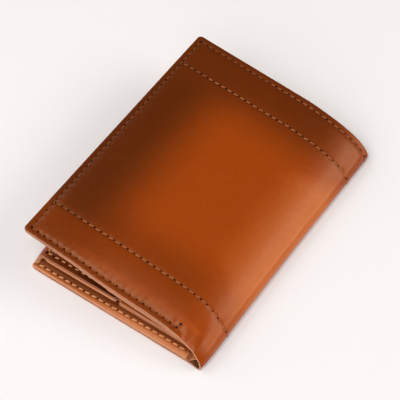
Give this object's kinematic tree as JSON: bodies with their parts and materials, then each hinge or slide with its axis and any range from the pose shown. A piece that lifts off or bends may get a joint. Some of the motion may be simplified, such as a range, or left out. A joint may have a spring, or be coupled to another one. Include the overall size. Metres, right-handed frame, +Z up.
{
  "type": "trifold wallet",
  "caption": "Leather trifold wallet lying closed: back panel, rounded spine, sprung-open cover and a half-width inner flap over stepped card slots.",
  "frame": {"origin": "middle of the wallet's overall box, on the surface it lies on", "axes": "+Y along the folds (the long side), +X towards the rounded spine, +Z up through the cover"},
  "size_m": [0.0866, 0.123, 0.0212],
  "materials": {
    "outer_leather": "satin, hand-burnished",
    "inner_leather": "satin",
    "lining": "matte",
    "board": "matte",
    "thread": "waxed"
  },
  "bodies": {
    "back": {"back_shell": "outer_leather", "back_stiffener": "board", "back_lining": "lining", "back_note_divider": "inner_leather", "back_inner_panel": "inner_leather", "back_card_slot_1": "inner_leather", "back_card_slot_2": "inner_leather", "back_card_slot_3": "inner_leather", "back_margin_stitches": "thread"},
    "flap": {"flap_shell": "outer_leather", "flap_stiffener": "board", "flap_lining": "inner_leather", "flap_stitches": "thread"},
    "spine": {"spine_shell": "outer_leather", "spine_lining": "lining", "spine_note_divider": "inner_leather", "spine_stitches": "thread"},
    "cover": {"cover_shell": "outer_leather", "cover_stiffener": "board", "cover_lining": "lining", "cover_note_divider": "inner_leather", "cover_inner_panel": "inner_leather", "cover_card_slot_1": "inner_leather", "cover_card_slot_2": "inner_leather", "cover_card_slot_3": "inner_leather", "cover_edge_stitches": "thread", "cover_cross_stitches": "thread"}
  },
  "joints": [
    {"name": "spine_fold", "type": "hinge", "parent": "back", "child": "spine", "pos_m": [0.04331, 0, 0.002], "axis": [0, 1, 0], "range_deg": [0, 137.5]},
    {"name": "cover_fold", "type": "hinge", "parent": "spine", "child": "cover", "pos_m": [0.03341, 0, 0.0102], "axis": [0, 1, 0], "range_deg": [0, 36.2]},
    {"name": "flap_fold", "type": "hinge", "parent": "back", "child": "flap", "pos_m": [-0.03949, 0, 0.0029], "axis": [0, -1, 0], "range_deg": [0, 178.27]}
  ],
  "couplings": [
    {"joint": "cover_fold", "follows": "spine_fold", "ratio": 0.2632},
    {"joint": "flap_fold", "follows": "spine_fold", "ratio": 1.2965}
  ]
}
